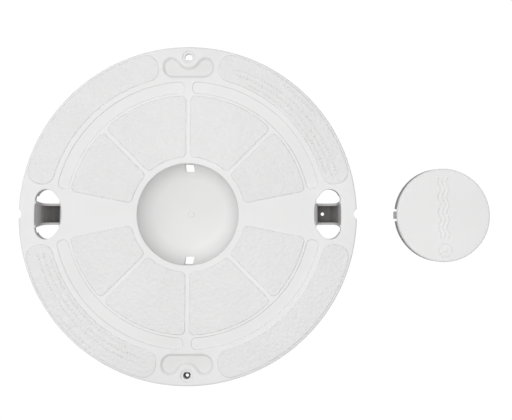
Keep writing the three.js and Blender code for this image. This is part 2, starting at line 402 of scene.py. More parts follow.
def soften_edges(piece: bpy.types.Object, width: float, angle: float = 40.0, segments: int = 2) -> None:
    """Bevel a solid's sharp edges.

    Args:
        piece: The object.
        width: The bevel's width, in the object's units.
        angle: Edges sharper than this many degrees are bevelled.
        segments: Flats across the bevel.
    """
    pick(piece)
    modifier = piece.modifiers.new("edges", "BEVEL")
    modifier.width = width
    modifier.segments = segments
    modifier.limit_method = "ANGLE"
    modifier.angle_limit = math.radians(angle)
    modifier.use_clamp_overlap = True
    bpy.ops.object.modifier_apply(modifier=modifier.name)


def copy_of(piece: bpy.types.Object, name: str, placing: Matrix) -> bpy.types.Object:
    """Copy an object with its own mesh, and put the copy's mesh somewhere else.

    Args:
        piece: The object to copy.
        name: The copy's name.
        placing: Applied to the copy's mesh. A mirroring one also turns its faces back outwards.

    Returns:
        The copy.
    """
    pick(piece)
    bpy.ops.object.duplicate(linked=False)
    made = bpy.context.object
    made.name = made.data.name = name
    made.data.transform(placing)
    if placing.determinant() < 0:
        made.data.flip_normals()
    return made


def turn_z(degrees: float) -> Matrix:
    """A turn about the Z axis."""
    return Matrix.Rotation(math.radians(degrees), 4, "Z")


def arc(centre: Point2, radius: float, start: float, end: float, steps: int) -> list[Point2]:
    """Points along an arc, both ends included.

    Args:
        centre: The arc's centre.
        radius: Its radius.
        start: Its first angle, in degrees.
        end: Its last angle. A smaller one than start runs clockwise.
        steps: How many flats it has.

    Returns:
        The points.
    """
    points = []
    for index in range(steps + 1):
        angle = math.radians(start + (end - start) * index / steps)
        points.append((centre[0] + radius * math.cos(angle), centre[1] + radius * math.sin(angle)))
    return points


def lay_down(piece: bpy.types.Object, body: str, finish: "Finish", sharp: float = 35.0) -> None:
    """Turn a bench piece into a finished one: metres, smooth shading, material and body.

    Args:
        piece: The object, in millimetres.
        body: The moving body that it rides on.
        finish: Its material.
        sharp: Edges sharper than this many degrees stay crisp.
    """
    piece.data.transform(Matrix.Diagonal((MM, MM, MM, 1)))
    pick(piece)
    bpy.ops.object.shade_smooth_by_angle(angle=math.radians(sharp))
    modifier = piece.modifiers.new("flat faces stay flat", "WEIGHTED_NORMAL")
    modifier.keep_sharp = True
    bpy.ops.object.modifier_apply(modifier=modifier.name)
    piece.data.materials.clear()
    piece.data.materials.append(finish.material())
    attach(piece, body)
    log.info("%s: %d faces, rides on %s", piece.name, len(piece.data.polygons), body)


# Finishes


# Sockets of a Mix node that mixes colours
MIX_FACTOR, MIX_A, MIX_B, MIX_RESULT = 0, 6, 7, 2


class Graph:
    """A material's node tree, with short ways to add and join nodes."""

    def __init__(self, name: str) -> None:
        """Start a material that holds only its shader and output."""
        self.material = bpy.data.materials.new(name)
        self.material.use_nodes = True
        self.tree = self.material.node_tree
        self.tree.nodes.clear()
        self.output = self.add("ShaderNodeOutputMaterial")
        self.shader = self.add("ShaderNodeBsdfPrincipled")
        self.join(self.shader, "BSDF", self.output, "Surface")
        self.place = self.add("ShaderNodeTexCoord")

    def add(self, kind: str, **values: float) -> bpy.types.Node:
        """Add a node and set its inputs.

        Args:
            kind: The node's type.
            values: Input name to value, with an underscore for each space.

        Returns:
            The node.
        """
        node = self.tree.nodes.new(kind)
        for name, value in values.items():
            node.inputs[name.replace("_", " ")].default_value = value
        return node

    def join(self, source: bpy.types.Node, out: str | int, target: bpy.types.Node, into: str | int) -> None:
        """Join an output to an input."""
        self.tree.links.new(source.outputs[out], target.inputs[into])

    def noise(self, scale: float, detail: float) -> bpy.types.Node:
        """A noise pattern on the object's own coordinates, in cycles a metre."""
        node = self.add("ShaderNodeTexNoise", Scale=scale, Detail=detail)
        self.join(self.place, "Object", node, "Vector")
        return node

    def spread(self, source: bpy.types.Node, low: float, high: float) -> bpy.types.Node:
        """Stretch a pattern's middle to a range."""
        node = self.add("ShaderNodeMapRange", From_Min=0.3, From_Max=0.7, To_Min=low, To_Max=high)
        self.join(source, 0, node, "Value")
        return node

    def ramp(self, source: bpy.types.Node, stops: Sequence[tuple[float, Colour]]) -> bpy.types.Node:
        """Colour a pattern by stops of position and colour."""
        node = self.add("ShaderNodeValToRGB")
        ends = node.color_ramp.elements
        for index, (position, colour) in enumerate(stops):
            stop = ends[index] if index < 2 else ends.new(position)
            stop.position, stop.color = position, (*colour, 1)
        self.join(source, 0, node, "Fac")
        return node

    def bump(self, source: bpy.types.Node, out: str | int, depth: float,
             under: bpy.types.Node | None = None) -> bpy.types.Node:
        """Raise the surface by a pattern, over another bump if there is one."""
        node = self.add("ShaderNodeBump", Strength=1.0, Distance=depth)
        self.join(source, out, node, "Height")
        if under is not None:
            self.join(under, "Normal", node, "Normal")
        return node


@dataclass(frozen=True)
class Finish:
    """A named finish, which also carries the name of a material slot."""

    name: str
    slot: str

    def build(self) -> bpy.types.Material:
        """Make the material."""
        raise NotImplementedError

    def material(self) -> bpy.types.Material:
        """The material, made once."""
        return bpy.data.materials.get(self.name) or self.build()


@dataclass(frozen=True)
class MouldedPlastic(Finish):
    """Off-white injection-moulded plastic, satin or stippled."""

    colour: Colour = (0.8, 0.8, 0.795)
    roughness: float = 0.46
    surface: Surface = Surface.SATIN
    grain_scale: float = 1500.0  # cycles a metre
    grain_depth: float = 0.00002  # in metres
    stipple_scale: float = 430.0
    stipple_depth: float = 0.0005
    # The shades are painted light and shade: colour that stands in for how light falls at each height.
    shades: tuple[tuple[float, Colour], ...] = ()  # colours by height in metres, if it isn't one colour
    shade_waver: float = 0.001  # how far the shades' edges wander, in metres

    def build(self) -> bpy.types.Material:
        """Make the material: faint cloudiness, uneven gloss, a fine grain and perhaps a stipple.

        Returns:
            The material.
        """
        graph = Graph(self.name)
        cloud = graph.noise(scale=16, detail=3)
        tint = graph.add("ShaderNodeMix")
        tint.data_type, tint.blend_type = "RGBA", "MULTIPLY"
        tint.inputs[MIX_FACTOR].default_value = 1
        tint.inputs[MIX_A].default_value = (*self.colour, 1)
        if self.shades:
            graph.join(self.shade(graph, cloud), "Color", tint, MIX_A)
        graph.join(graph.spread(cloud, 0.965, 1.012), "Result", tint, MIX_B)
        graph.join(tint, MIX_RESULT, graph.shader, "Base Color")
        wear = graph.noise(scale=90, detail=4)
        gloss = graph.spread(wear, self.roughness - 0.05, self.roughness + 0.07)
        graph.join(gloss, "Result", graph.shader, "Roughness")
        grain = graph.noise(scale=self.grain_scale, detail=2)
        relief = graph.bump(grain, 0, self.grain_depth)
        if self.surface is Surface.STIPPLED:
            pebbles = graph.add("ShaderNodeTexVoronoi", Scale=self.stipple_scale)
            graph.join(graph.place, "Object", pebbles, "Vector")
            relief = graph.bump(pebbles, "Distance", -self.stipple_depth, relief)
        graph.join(relief, "Normal", graph.shader, "Normal")
        graph.shader.inputs["IOR"].default_value = 1.46
        return graph.material

    def shade(self, graph: Graph, cloud: bpy.types.Node) -> bpy.types.Node:
        """Colour the plastic by its height, as painted light and shade: darker low down and in recesses,
        lighter where light is painted on.

        Args:
            graph: The material's nodes.
            cloud: The pattern that makes each shade's edge uneven.

        Returns:
            The node that holds the colour.
        """
        low, high = self.shades[0][0], self.shades[-1][0]
        place = graph.add("ShaderNodeSeparateXYZ")
        graph.join(graph.place, "Object", place, "Vector")
        uneven = graph.add("ShaderNodeMath")
        uneven.operation = "MULTIPLY_ADD"
        uneven.inputs[1].default_value = self.shade_waver
        graph.join(cloud, 0, uneven, 0)
        graph.join(place, "Z", uneven, 2)
        share = graph.add("ShaderNodeMapRange", From_Min=low, From_Max=high)
        graph.join(uneven, 0, share, "Value")
        return graph.ramp(share, [((z - low) / (high - low), colour) for z, colour in self.shades])


@dataclass(frozen=True)
class Rubber(Finish):
    """Black rubber with a dusty bloom."""

    colour: Colour = (0.02, 0.019, 0.019)
    roughness: float = 0.78

    def build(self) -> bpy.types.Material:
        """Make the material: near black, with a greyer bloom and a fine pitted surface.

        Returns:
            The material.
        """
        graph = Graph(self.name)
        bloom = graph.noise(scale=400, detail=4)
        greyer = tuple(channel + 0.02 for channel in self.colour)
        tint = graph.ramp(bloom, [(0.35, self.colour), (0.75, greyer)])
        graph.join(tint, "Color", graph.shader, "Base Color")
        gloss = graph.spread(bloom, self.roughness - 0.08, self.roughness + 0.1)
        graph.join(gloss, "Result", graph.shader, "Roughness")
        pits = graph.noise(scale=2500, detail=2)
        graph.join(graph.bump(pits, 0, 0.00003), "Normal", graph.shader, "Normal")
        return graph.material


LID_COLOUR = (0.81, 0.81, 0.808)
CAP_COLOUR = (0.865, 0.865, 0.862)
# Painted light and shade by height: the bottom of the bowl and the recess and channel floors are darkened as
# painted shade, and the bowl's walls are lightened as painted light.
LID_SATIN = MouldedPlastic("lid_plastic_satin", "lid_plastic", shades=(
    (0.005, (0.75, 0.75, 0.745)), (0.009, (0.84, 0.84, 0.837)), (0.0285, (0.84, 0.84, 0.837)),
    (0.0322, (0.735, 0.735, 0.73)), (0.0345, LID_COLOUR)))
LID_STIPPLED = MouldedPlastic("lid_plastic_stippled", "lid_plastic", colour=(0.795, 0.795, 0.793),
                              surface=Surface.STIPPLED, roughness=0.52)
# Painted shade: the pockets darken towards their floors, for the shade deep inside them.
POCKET_PLASTIC = MouldedPlastic("lid_plastic_painted_shade", "lid_plastic", shade_waver=0.003, shades=(
    (0.003, (0.11, 0.1, 0.098)), (0.012, (0.6, 0.575, 0.57)), (0.03, LID_COLOUR)))
CAP_SATIN = MouldedPlastic("cap_plastic_satin", "cap_plastic", colour=CAP_COLOUR, roughness=0.42)
# Painted shade: the cap's skirt darkens towards its foot, for the shade under the disc's edge.
CAP_SKIRT_PLASTIC = MouldedPlastic("cap_plastic_painted_shade", "cap_plastic", roughness=0.42, shades=(
    (0.0068, (0.27, 0.253, 0.25)), (0.01, CAP_COLOUR)))
# Painted shade: the snap tabs darken towards their feet, for the shade under the disc.
TAB_PLASTIC = MouldedPlastic("tab_plastic_painted_shade", "cap_plastic", roughness=0.42, shades=(
    (0.002, (0.42, 0.4, 0.395)), (0.01, CAP_COLOUR)))
BLACK_RUBBER = Rubber("retainer_rubber", "rubber")


# The lid

LID_BODY = "lid"
CAP_BODY = "cap"

# Name and mirroring of each quarter of the lid, from the one at +X +Y
QUARTERS = [("rear_right", 1, 1), ("rear_left", -1, 1), ("front_left", -1, -1), ("front_right", 1, -1)]


def quartered(first: bpy.types.Object, kind: str) -> list[bpy.types.Object]:
    """Copy a piece made at +X +Y into each quarter of the lid, and throw the first one away.

    Args:
        first: The piece.
        kind: The start of each copy's name.

    Returns:
        The four copies.
    """
    copies = []
    for place, mirror_x, mirror_y in QUARTERS:
        copies.append(copy_of(first, f"{kind}_{place}", Matrix.Diagonal((mirror_x, mirror_y, 1, 1))))
    bpy.data.objects.remove(first, do_unlink=True)
    return copies


@dataclass(frozen=True)
class RingSlice:
    """A slice of a flat ring with rounded corners."""

    inner: float
    outer: float
    start: float  # angle of its first side, in degrees
    end: float
    corner: float
    gap_start: float = 0.0  # how far its first side lies from the radius at start
    gap_end: float = 0.0

    def outline(self, grow: float = 0.0) -> list[Point2]:
        """Its outline.

        Args:
            grow: How far it is moved outwards.

        Returns:
            The outline, anticlockwise.
        """
        inner, outer, corner = self.inner - grow, self.outer + grow, self.corner + grow
        far, near = outer - corner, inner + corner

        def lean(radius: float, gap: float) -> float:
            """Angle that a corner's centre lies in from the side's radius."""
            return math.degrees(math.asin((gap - grow + corner) / radius))

        def centre(radius: float, angle: float) -> Point2:
            """A corner's centre."""
            return radius * math.cos(math.radians(angle)), radius * math.sin(math.radians(angle))

        start, end = self.start, self.end
        out_start, out_end = start + lean(far, self.gap_start), end - lean(far, self.gap_end)
        in_start, in_end = start + lean(near, self.gap_start), end - lean(near, self.gap_end)
        flats = max(6, round((out_end - out_start) * 0.7))
        return [
            *arc((0, 0), outer, out_start, out_end, flats),
            *arc(centre(far, out_end), corner, out_end, end + 90, 8)[1:],
            *arc(centre(near, in_end), corner, end + 90, in_end + 180, 8),
            *arc((0, 0), inner, in_end, in_start, flats)[1:],
            *arc(centre(near, in_start), corner, in_start + 180, start + 270, 8)[1:],
            *arc(centre(far, out_start), corner, start - 90, out_start, 8)[:-1],
        ]


CHANNEL = RingSlice(90.9, 99.4, 11.6, 90, 3.6, gap_end=3.1)
PANELS = {
    "sector_side": RingSlice(42.7, 88.6, 11.2, 45, 3.6, gap_end=1.65),
    "sector_end": RingSlice(42.7, 88.6, 45, 90, 3.6, gap_start=1.65, gap_end=1.65),
    "outer_panel": RingSlice(103.7, 123.7, 11.6, 78.3, 8.6),
}

# Radius, first angle and number of groups of each row of grip dashes, and the dashes' lengths in degrees
DASH_ROWS = [(120.3, 38, 2), (114.5, 15, 7), (110.5, 15, 7), (106.3, 17, 6)]
DASH_LENGTHS = [0.9, 0.6, 1.3, 0.7, 1.0, 0.6]
DASH_GAP = 0.5


@dataclass
class Lid:
    """The lid's one moulding, but for its lift pockets: plate, rim, bowl, recesses, panels and underside."""

    top: float = 34.4  # height of the plain top surface
    plate: float = 4.0
    radius: float = 126.2
    face_radius: float = 123.6
    rim_height: float = 8.4
    rim_wall: float = 2.8
    steps: int = 240

    bowl_radius: float = 37.7
    bowl_depth: float = 30.0
    bowl_power: float = 3.0
    bowl_wall: float = 2.8
    bowl_steps: int = 26
    bowl_lip: float = 0.7
    pad_radius: float = 9.0

    edge: float = 0.9  # width of the soft edge round panels and channels
    rise: float = 0.6
    channel_depth: float = 0.9
    recess_depth: float = 2.2
    recess_edge: float = 2.6
    recess_half: float = 19.2  # half the recess's length
    recess_low: float = 102.6  # its nearest and furthest reach from the axis
    recess_high: float = 117.8
    recess_corner: float = 7.4
    recess_lobe: float = 6.35
    recess_bump: float = 7.8  # radius of the bump round the screw hole
    screw_at: float = 118.0
    screw_hole: float = 2.75
    screw_sink: float = 4.75

    hole_outer: float = 114.0  # radius of the lift hole's far edge
    hole_inner: float = 95.6
    hole_bulge: float = 1.6
    hole_rounding: float = 0.6
    lobe_x: float = 105.5
    lobe_y: float = 10.5
    lobe_radius: float = 8.0
    collar_depth: float = 4.6
    collar_wall: float = 1.8
    slot_width: float = 6.6
    slot_depth: float = 5.2
    slot_outer: float = 37.9
    slot_below: float = 2.2  # how far a slot starts below the top
    slot_height: float = 30.0
    notch_radius: float = 4.0
    notch_depth: float = 2.7

    skirt_radius: float = 116.4
    skirt_wall: float = 2.2
    skirt_depth: float = 12.5
    skirt_gap: float = 20.5
    rib_count: int = 8
    rib_depth: float = 8.5
    rib_wall: float = 2.2
    boss_radius: float = 7.0
    floor_wall: float = 2.6  # plastic left under a recess

    def build(self) -> None:
        """Model the whole lid and lay it down."""
        body = self.turn_body()
        for tool in self.cutting_tools():
            cut(body, tool)
        lay_down(body, LID_BODY, LID_SATIN)
        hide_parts("lid")
        self.gate_mark()
        self.grip_panels()
        self.grip_dashes()
        self.underside()
        self.lobe_collars()

    @property
    def under(self) -> float:
        """Height of the plate's underside."""
        return self.top - self.plate

    def bowl_section(self, radius: float, depth: float, least: float) -> list[Point2]:
        """The bowl's superellipse from its mouth towards the axis.

        Args:
            radius: Radius at the mouth.
            depth: Depth on the axis.
            least: Points nearer to the axis than this are left out.

        Returns:
            Points of radius and height.
        """
        points = []
        for index in range(self.bowl_steps + 1):
            angle = index / self.bowl_steps * math.pi / 2
            r = radius * abs(math.cos(angle)) ** (2 / self.bowl_power)
            z = self.top - depth * math.sin(angle) ** (2 / self.bowl_power)
            if r > least:
                points.append((r, z))
        return points

    def turn_body(self) -> bpy.types.Object:
        """Turn the plate, rim and bowl from one section.

        Returns:
            The body before its holes and recesses.
        """
        foot = self.top - self.rim_height
        inside = self.radius - self.rim_wall
        outside = self.bowl_section(self.bowl_radius + self.bowl_wall, self.bowl_depth + self.bowl_wall,
                                    self.pad_radius + 0.5)
        bowl = self.bowl_section(self.bowl_radius, self.bowl_depth, 0.3)
        lip = self.bowl_lip
        section = [
            (0, 0),
            (self.pad_radius - 0.4, 0),
            (self.pad_radius, 0.4),
            *[point for point in reversed(outside) if point[1] < self.under - 1],
            *arc((self.bowl_radius + self.bowl_wall + 1.6, self.under - 1.5), 1.5, 180, 90, 4),
            *arc((inside - 1.2, self.under - 1.2), 1.2, 90, 0, 4),
            (inside, foot + 0.3),
            (inside + 0.3, foot),
            (self.radius - 0.5, foot),
            (self.radius, foot + 0.5),
            (self.radius, self.top - 5.5),
            (self.radius - 0.1, self.top - 3.6),
            *arc((self.radius - 1.7, self.top - 1.3), 1.3, 10, 90, 6),
            (self.face_radius - 1.2, self.top),
            *arc((self.bowl_radius + lip, self.top - lip), lip, 90, 180, 4),
            *[point for point in bowl if point[1] < self.top - 1.6 * lip],
            (0, self.top - self.bowl_depth),
        ]
        return turned("lid_body", section, self.steps)

    def kidney_outline(self, grow: float) -> list[Point2]:
        """The outline of the recess beside the rear screw hole.

        Args:
            grow: How far it is moved outwards.

        Returns:
            The outline, anticlockwise.
        """
        corner, lobe, bump = self.recess_corner, self.recess_lobe, self.recess_bump
        lobe_at = (self.recess_half - lobe, self.recess_high - lobe)
        gap = math.hypot(lobe_at[0], self.screw_at - lobe_at[1])
        facing = math.degrees(math.atan2(self.screw_at - lobe_at[1], -lobe_at[0]))
        swing = math.degrees(math.acos((lobe + bump) / gap))
        right = [
            *arc((self.recess_half - corner, self.recess_low + corner), corner + grow, -90, 0, 9),
            *arc(lobe_at, lobe + grow, 0, facing - swing, 12),
        ]
        middle = arc((0, self.screw_at), bump - grow, facing + 180 - swing, 360 - facing + swing, 16)
        left = [(-x, y) for x, y in reversed(right)]
        return [*right, *middle, *left]

    def hole_outline(self, grow: float) -> list[Point2]:
        """The outline of the lift hole at +X: two lobes and a bulge towards the axis.

        Args:
            grow: How far it is moved outwards.

        Returns:
            The outline, anticlockwise.
        """
        outer, flats = self.hole_outer + grow, 12
        reach = math.degrees(math.asin(self.lobe_y / outer))
        upper = arc((self.lobe_x, self.lobe_y), self.lobe_radius + grow, 0, 140, 18)
        corner = (self.hole_inner - grow, self.lobe_y + grow)
        bulge = []
        for index in range(1, flats):
            share = index / flats
            x = corner[0] - self.hole_bulge * 4 * share * (1 - share)
            bulge.append((x, corner[1] * (1 - 2 * share)))
        lower = [(x, -y) for x, y in reversed(upper)]
        edge = arc((0, 0), outer, -reach, reach, 10)[1:-1]
        return [*edge, *upper, corner, *bulge, (corner[0], -corner[1]), *lower]

    def recess_tool(self, name: str, points: Sequence[Point2], depth: float, edge: float) -> bpy.types.Object:
        """A solid that cuts a soft-edged recess into the top surface.

        Args:
            name: The object's name.
            points: The recess's outline at the surface.
            depth: Its depth.
            edge: Width of its soft edge.

        Returns:
            The cutting solid.
        """
        piece = outline_face(name, points, self.top + 1, up=False)
        with editing(piece):
            bpy.ops.mesh.select_all(action="SELECT")
            extrude(-1)
            soft_step(edge, depth)
            face_outwards()
        return piece

    def hole_tool(self) -> bpy.types.Object:
        """A solid that cuts the lift hole at +X, with a rounded upper edge."""
        rounding, steps = self.hole_rounding, 4
        piece = outline_face("hole_tool", self.hole_outline(rounding), self.top + 1, up=False)
        with editing(piece):
            bpy.ops.mesh.select_all(action="SELECT")
            extrude(-1)
            for index in range(steps):
                low, high = index * math.pi / 2 / steps, (index + 1) * math.pi / 2 / steps
                inward = rounding * (math.sin(high) - math.sin(low))
                drop = rounding * (math.cos(low) - math.cos(high))
                bpy.ops.mesh.inset(thickness=inward, depth=drop, use_even_offset=True)
            extrude(-2 * self.plate)
            face_outwards()
        return piece

    def screw_tool(self) -> bpy.types.Object:
        """A solid that cuts a screw hole and its sunk rim, made at the rear."""
        sink, hole = self.screw_sink, self.screw_hole
        section = [
            (0, self.top + 1),
            (sink + 0.3, self.top + 1),
            (sink + 0.3, self.top),
            (sink, self.top - 0.15),
            (sink - 0.25, self.top - 0.8),
            (sink - 0.5, self.top - 0.95),
            (hole + 0.5, self.top - 1.0),
            (hole + 0.12, self.top - 1.12),
            (hole, self.top - 1.5),
            (hole, 0),
            (0, 0),
        ]
        piece = turned("screw_tool", section, 48)
        piece.data.transform(Matrix.Translation((0, self.screw_at, 0)))
        return piece

    def slot_tool(self) -> bpy.types.Object:
        """A block that cuts the rear slot for a snap tab."""
        middle = (0, self.slot_outer - self.slot_depth / 2, self.top - self.slot_below - self.slot_height / 2)
        piece = block("slot_tool", middle, (self.slot_width, self.slot_depth, self.slot_height))
        soften_edges(piece, 0.35, segments=3)
        return piece

    def notch_tool(self) -> bpy.types.Object:
        """A rod that cuts the half-round notch in the rim at +X."""
        middle = (self.radius + self.notch_radius - self.notch_depth, 0, self.top)
        return rod("notch_tool", middle, self.notch_radius, 3 * self.rim_height, 48)

    def cutting_tools(self) -> list[bpy.types.Object]:
        """Every solid that is cut out of the turned body.

        Returns:
            The solids.
        """
        outline = CHANNEL.outline(self.edge / 2)
        channel = self.recess_tool("channel_tool", outline, self.channel_depth, self.edge)
        tools = quartered(channel, "channel_tool")
        recess = self.kidney_outline(0.7)
        for degrees in (0, 180):
            for tool in (
                self.recess_tool("kidney_tool", recess, self.recess_depth, self.recess_edge),
                self.screw_tool(),
                self.slot_tool(),
                self.hole_tool(),
                self.notch_tool(),
            ):
                tool.data.transform(turn_z(degrees))
                tools.append(tool)
        return tools

    def gate_mark(self) -> None:
        """Turn the small raised ring left by moulding in the middle of the bowl."""
        z = self.top - self.bowl_depth
        section = [(0, z - 0.4), (2.7, z - 0.4), (2.7, z), (2.4, z + 0.4), (1.9, z + 0.6), (1.4, z + 0.5),
                   (0.9, z + 0.1), (0, z + 0.05)]
        lay_down(turned("gate_mark", section, 40), LID_BODY, LID_SATIN)

    def grip_panels(self) -> None:
        """Stand the stippled panels on the top: eight sectors and four outer slices."""
        for kind, panel in PANELS.items():
            first = pad(kind, panel.outline(self.edge / 2), self.top, 0.3, self.rise, self.edge)
            for piece in quartered(first, kind):
                lay_down(piece, LID_BODY, LID_STIPPLED)

    def grip_dashes(self) -> None:
        """Stand rows of plain raised dashes on the rear right and front left outer panels."""
        for place, turn in (("rear_right", 0), ("front_left", 180)):
            rows = [self.dash_row(radius, start + turn, groups) for radius, start, groups in DASH_ROWS]
            dashes = fuse(rows)
            dashes.name = dashes.data.name = f"grip_dashes_{place}"
            lay_down(dashes, LID_BODY, LID_STIPPLED)

    def dash_row(self, radius: float, start: float, groups: int) -> bpy.types.Object:
        """One row of dashes: a group of uneven lengths, repeated along an arc.

        Args:
            radius: Radius of the row's middle.
            start: Angle of its first dash, in degrees.
            groups: How many groups it has.

        Returns:
            The row.
        """
        z, half = self.top + self.rise, 0.8
        dashes, angle = [], start
        for length in DASH_LENGTHS:
            bar = RingSlice(radius - half, radius + half, angle, angle + length, 0.3)
            dashes.append(pad("dash", bar.outline(), z, 0.15, 0.45, 0.3))
            angle += length + DASH_GAP
        row = fuse(dashes)
        sweep = math.radians((angle - start) * (groups - 1))
        with editing(row):
            bpy.ops.mesh.select_all(action="SELECT")
            bpy.ops.mesh.spin(steps=groups - 1, dupli=True, angle=sweep, center=(0, 0, 0), axis=(0, 0, -1))
        return row

    def underside(self) -> None:
        """Hang the locating skirt, ribs, screw boss and recess pads under the plate."""
        low, high = self.under - self.skirt_depth, self.under + 0.3
        gap = math.degrees(math.asin(self.skirt_gap / self.skirt_radius))
        inner = self.skirt_radius - self.skirt_wall
        section = [
            (inner + 0.4, low),
            (self.skirt_radius - 0.4, low),
            (self.skirt_radius - 0.1, low + 0.4),
            (self.skirt_radius, high),
            (inner, high),
            (inner + 0.1, low + 0.4),
        ]
        for place, start in (("rear", gap), ("front", 180 + gap)):
            skirt = turned(f"locating_skirt_{place}", section, 120, closed=True, start=start,
                           sweep=180 - 2 * gap)
            lay_down(skirt, LID_BODY, LID_SATIN)
        for index in range(self.rib_count):
            degrees = 360 * (index + 0.5) / self.rib_count
            lay_down(self.rib(index + 1, degrees), LID_BODY, LID_SATIN)
        foot, hole, outside = self.top - self.rim_height, self.screw_hole + 0.06, self.boss_radius
        boss = [(hole, foot), (outside - 0.4, foot), (outside, foot + 0.4), (outside, high), (hole, high)]
        piece = turned("screw_boss", boss, 48, closed=True)
        piece.data.transform(Matrix.Translation((0, -self.screw_at, 0)))
        lay_down(piece, LID_BODY, LID_SATIN)
        for place, degrees in (("rear", 0), ("front", 180)):
            support = pad(f"recess_pad_{place}", self.kidney_outline(1.4), self.under, 0.3,
                          self.recess_depth + self.floor_wall - self.plate, 0.6, up=False)
            support.data.transform(turn_z(degrees))
            lay_down(support, LID_BODY, LID_SATIN)

    def lobe_collars(self) -> None:
        """Hang a low wall round the outside of each lobe of the lift holes."""
        low, high = self.under - self.collar_depth, self.under + 0.3
        inside, outside = self.lobe_radius, self.lobe_radius + self.collar_wall
        section = [(inside + 0.3, low), (outside - 0.4, low), (outside, low + 0.4), (outside, high),
                   (inside, high), (inside, low + 0.3)]
        first = turned("lobe_collar", section, 24, closed=True, start=22.5, sweep=90)
        first.data.transform(Matrix.Translation((self.lobe_x, self.lobe_y, 0)))
        for piece in quartered(first, "lobe_collar"):
            lay_down(piece, LID_BODY, LID_SATIN)

    def rib(self, number: int, degrees: float) -> bpy.types.Object:
        """One radial rib with a drafted, rounded foot.

        Args:
            number: Its number in its name.
            degrees: Its angle from +X.

        Returns:
            The rib.
        """
        start = self.bowl_radius + self.bowl_wall / 2
        end = self.skirt_radius - self.skirt_wall / 2
        piece = block(f"radial_rib_{number}", ((start + end) / 2, 0, self.under + 0.1),
                      (end - start, self.rib_wall, 0.2))
        hanging_rib(piece, self.rib_depth, (1, 0.78), 0.5, 3)
        piece.data.transform(turn_z(degrees))
        return piece


@dataclass
class LiftPocket:
    """The pocket that hangs in a lift hole: a strap of end walls and floor with low side walls."""

    side: Side
    drained: bool
    top: float = 33.8
    neck: float = 29.6
    waist: float = 16.0
    floor: float = 2.0
    wall: float = 1.8
    back: float = 115.8
    half_foot: float = 8.2
    half_top: float = 9.7
    saddle: float = 14.0
    heel: float = 7.5  # rounding inside, where the floor meets the back
    drain_at: float = 103.0
    drain_radius: float = 1.35

    def build(self) -> None:
        """Model the pocket and lay it down."""
        piece = self.shell()
        cut(piece, self.saddle_tool())
        if self.drained:
            cut(piece, self.drain_tool())
        soften_edges(piece, 0.4, angle=50, segments=2)
        piece.data.transform(turn_z(self.side.value))
        lay_down(piece, LID_BODY, POCKET_PLASTIC)

    def shell(self) -> bpy.types.Object:
        """Box-model the pocket: out of its foot, up to its mouth, and back down inside.

        Returns:
            The pocket, full height all round.
        """
        # Height, X of the end towards the axis, and half width, of each level outside and then inside
        foot, *outside = [(0, 98.2, self.half_foot), (self.waist, 96.0, self.half_foot),
                          (self.neck, 94.2, self.half_top), (self.top, 92.2, self.half_top)]
        inside = [(self.neck, 96.1, self.half_top), (self.waist, 97.8, self.half_foot),
                  (self.floor, 100.0, self.half_foot)]
        bpy.ops.mesh.primitive_plane_add(size=10, location=(106, 0, 0))
        piece = bpy.context.object
        piece.name = piece.data.name = f"lift_pocket_{self.side.name.lower()}"
        pick(piece)
        bpy.ops.object.transform_apply(location=True)
        with editing(piece):
            bpy.ops.mesh.select_all(action="SELECT")
            set_corners(piece, foot[1], self.back, foot[2], foot[0])
            for z, toe, half in outside:
                extrude(1)
                set_corners(piece, toe, self.back, half, z)
            bpy.ops.mesh.inset(thickness=self.wall)
            for z, toe, half in inside:
                extrude(-1)
                set_corners(piece, toe, self.back - self.wall, half - self.wall, z)
            face_outwards()
            bpy.ops.mesh.select_mode(type="EDGE")
            far = self.back - self.wall - 0.1
            choose_edges(piece, lambda a, b: abs(a.z - self.floor) < 0.1 and abs(b.z - self.floor) < 0.1
                         and a.x > far and b.x > far)
            bpy.ops.mesh.bevel(offset=self.heel, segments=10, affect="EDGES")
            choose_edges(piece, lambda a, b: a.z < 0.1 and b.z < 0.1)
            bpy.ops.mesh.bevel(offset=1.6, segments=4, affect="EDGES")
        return piece

    def saddle_tool(self) -> bpy.types.Object:
        """A solid that cuts the dip in the side walls, leaving a curved web at each end.

        Returns:
            The cutting solid.
        """
        z = self.saddle
        inner = arc((102.4, z + 5), 5.0, 270, 195, 7)
        outer = arc((104.6, z + 8.5), 8.5, 345, 270, 9)
        profile = [(113.2, 36), (95.9, 36), (96.2, 30), *reversed(inner), *reversed(outer)]
        width = 40
        piece = prism("saddle_tool", profile, width)
        piece.data.transform(Matrix.Translation((0, width / 2, 0)) @ UPRIGHT)
        return piece

    def drain_tool(self) -> bpy.types.Object:
        """A rod that cuts the drain hole in the floor."""
        return rod("drain_tool", (self.drain_at, 0, self.floor / 2), self.drain_radius, 4 * self.floor, 32)


@dataclass
class ScrewRetainer:
    """The rubber washer in the front screw hole."""

    radius: float = 2.45
    hole: float = 1.25
    offset: float = 0.7
    thick: float = 1.6
    high: float = 29.8
    at: float = 118.0

    def build(self) -> None:
        """Model the washer and lay it down."""
        middle = self.high - self.thick / 2
        piece = rod("retainer_washer", (0, -self.at, middle), self.radius, self.thick, 48)
        cut(piece, rod("washer_hole", (0, -self.at - self.offset, middle), self.hole, 3 * self.thick, 40))
        soften_edges(piece, 0.3, angle=50, segments=3)
        lay_down(piece, LID_BODY, BLACK_RUBBER)
        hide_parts("screw_retainer")


# The cap


